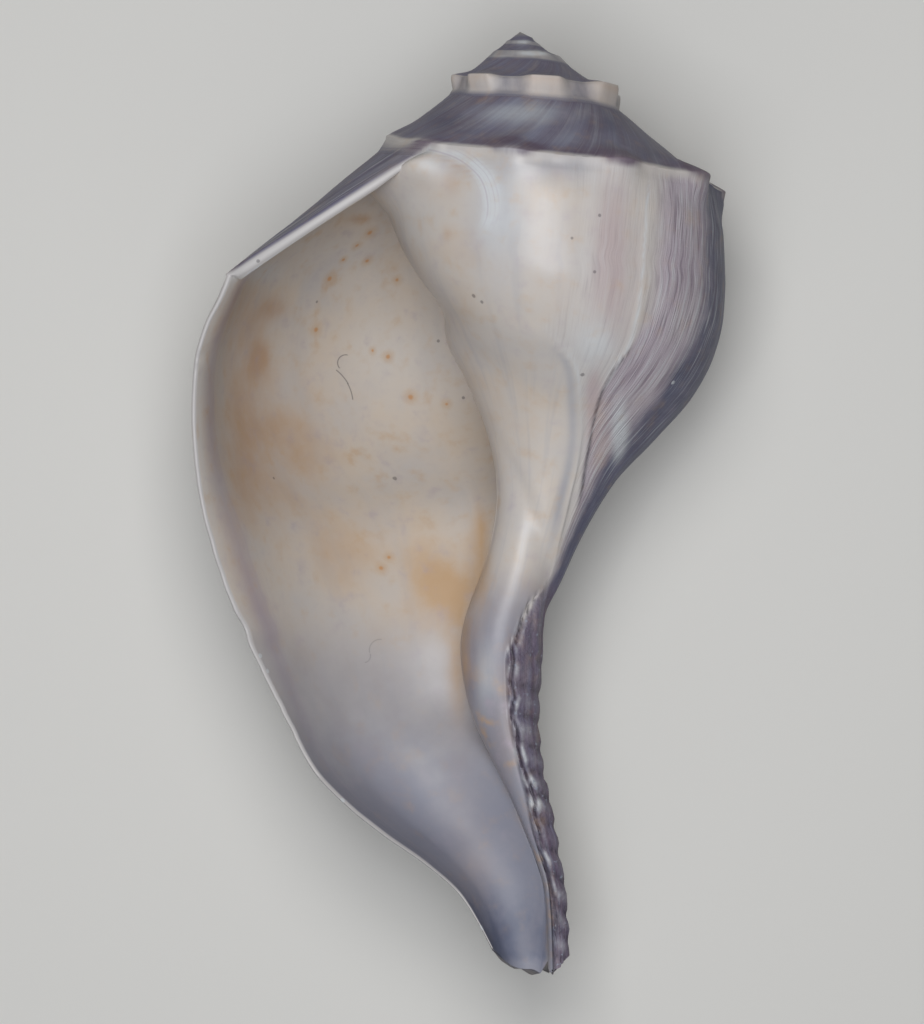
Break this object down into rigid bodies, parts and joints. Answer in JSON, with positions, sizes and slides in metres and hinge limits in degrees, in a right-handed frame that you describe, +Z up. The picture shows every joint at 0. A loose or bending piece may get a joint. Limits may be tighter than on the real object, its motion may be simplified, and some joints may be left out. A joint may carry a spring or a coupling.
{
  "type": "snow whelk shell",
  "caption": "Left-handed whelk shell with a low knobbed spire, a wide open aperture and a long open siphonal canal, lying on its back.",
  "frame": {"origin": "centre of the bounding box in plan, at the small flat spot that the shell rests on", "axes": "+Y from the canal tip to the apex along the shell's axis, +Z up out of the aperture, +X to the side away from the outer lip"},
  "size_m": [0.1138, 0.1988, 0.0875],
  "materials": {
    "shell": "satin cream and pale lavender-grey shell, glossier on the callus and inside the aperture"
  },
  "bodies": {
    "root": {"shell": "shell"}
  },
  "joints": []
}
